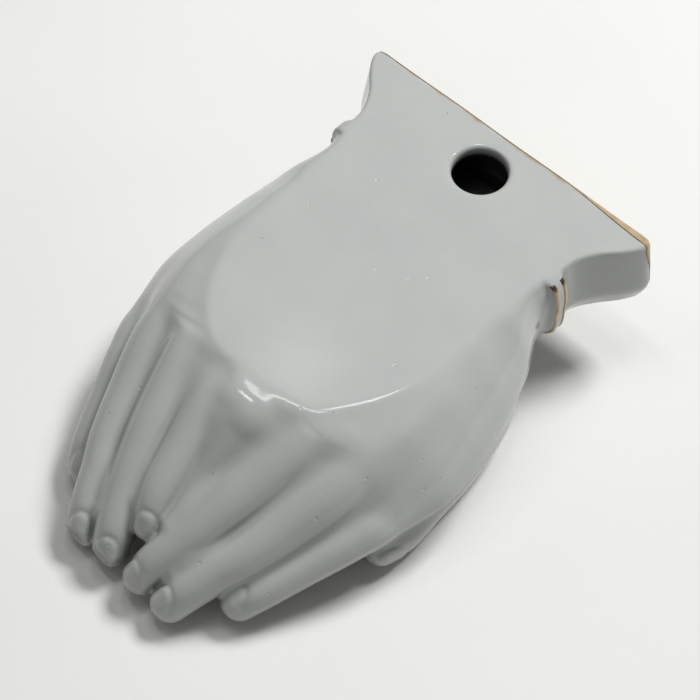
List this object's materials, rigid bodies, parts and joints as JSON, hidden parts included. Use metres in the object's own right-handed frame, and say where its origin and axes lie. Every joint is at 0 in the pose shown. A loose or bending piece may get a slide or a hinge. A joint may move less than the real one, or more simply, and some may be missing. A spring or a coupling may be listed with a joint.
{
  "type": "cupped hands ornament",
  "caption": "Hollow glazed ceramic ornament shaped as two cupped hands, with a flat back, a hanging hole, flared cuffs and gilt lines.",
  "frame": {"origin": "under the centre of the bounding box, on the surface that the piece rests on, palms down", "axes": "+Z is the outward normal of the flat wall side, +Y points to the cuff end, X runs across both hands"},
  "size_m": [0.0874, 0.1289, 0.0372],
  "materials": {
    "glaze": "glossy light blue-grey glaze over white earthenware",
    "gilding": "thin worn gilt, matt to satin"
  },
  "bodies": {
    "root": {"back_plate": "glaze", "left_cuff": "glaze", "left_wrist_band": "glaze", "left_hand": "glaze", "left_thumb": "glaze", "right_cuff": "glaze", "right_wrist_band": "glaze", "right_hand": "glaze", "right_thumb": "glaze", "left_index_finger": "glaze", "left_middle_finger": "glaze", "left_ring_finger": "glaze", "left_little_finger": "glaze", "right_index_finger": "glaze", "right_middle_finger": "glaze", "right_ring_finger": "glaze", "right_little_finger": "glaze", "left_gilt_line_upper": "gilding", "left_gilt_line_lower": "gilding", "right_gilt_line_upper": "gilding", "right_gilt_line_lower": "gilding", "rim_gilding": "gilding"}
  },
  "joints": []
}
